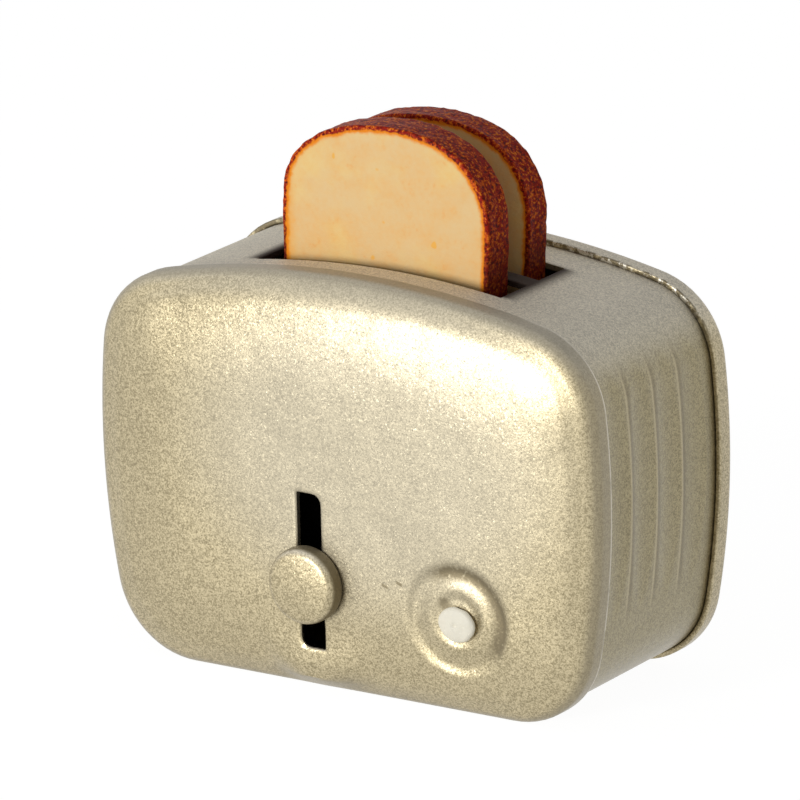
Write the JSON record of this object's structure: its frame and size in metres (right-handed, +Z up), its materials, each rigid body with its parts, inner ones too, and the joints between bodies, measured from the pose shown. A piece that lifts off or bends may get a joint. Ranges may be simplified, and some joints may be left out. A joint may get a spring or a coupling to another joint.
{
  "type": "toy toaster",
  "caption": "Miniature pressed tin toaster with a sliding lever that lifts a tray carrying two slices of toast.",
  "frame": {"origin": "on the surface it stands on, under the middle of its box", "axes": "+Z up; the panel with the lever faces -Y; +X runs from the lever towards the dial"},
  "size_m": [0.054, 0.0294, 0.0518],
  "materials": {
    "champagne_paint": "champagne metallic spray paint, fine sparkle, satin",
    "bare_steel": "plain tin plate",
    "spring_steel": "blued spring steel",
    "blackened_steel": "matte blackened steel",
    "white_enamel": "off-white enamel paint drop, glossy",
    "painted_toast": "painted wood, cream faces and mottled red-brown crust"
  },
  "bodies": {
    "casing": {"front_panel": "champagne_paint", "back_panel": "champagne_paint", "body_band": "champagne_paint", "base_plate": "bare_steel", "base_rivets": "bare_steel", "dial_dot": "white_enamel", "guide_rod": "bare_steel", "rod_bracket": "bare_steel"},
    "carriage": {"lever_knob": "champagne_paint", "lever_stem": "bare_steel", "friction_washer": "spring_steel", "stem_collar": "bare_steel", "lift_plate": "blackened_steel", "toast_tray": "blackened_steel", "tray_rivets": "bare_steel"},
    "front_slice": {"toast_front": "painted_toast"},
    "back_slice": {"toast_back": "painted_toast"}
  },
  "joints": [
    {"name": "lever_slide", "type": "slide", "parent": "casing", "child": "carriage", "axis": [0, 0, 1], "range_m": [-0.0051, 0.0071]},
    {"name": "toast_front_lift", "type": "slide", "parent": "carriage", "child": "front_slice", "axis": [0, 0, 1], "range_m": [0, 0.03]},
    {"name": "toast_back_lift", "type": "slide", "parent": "carriage", "child": "back_slice", "axis": [0, 0, 1], "range_m": [0, 0.03]}
  ]
}
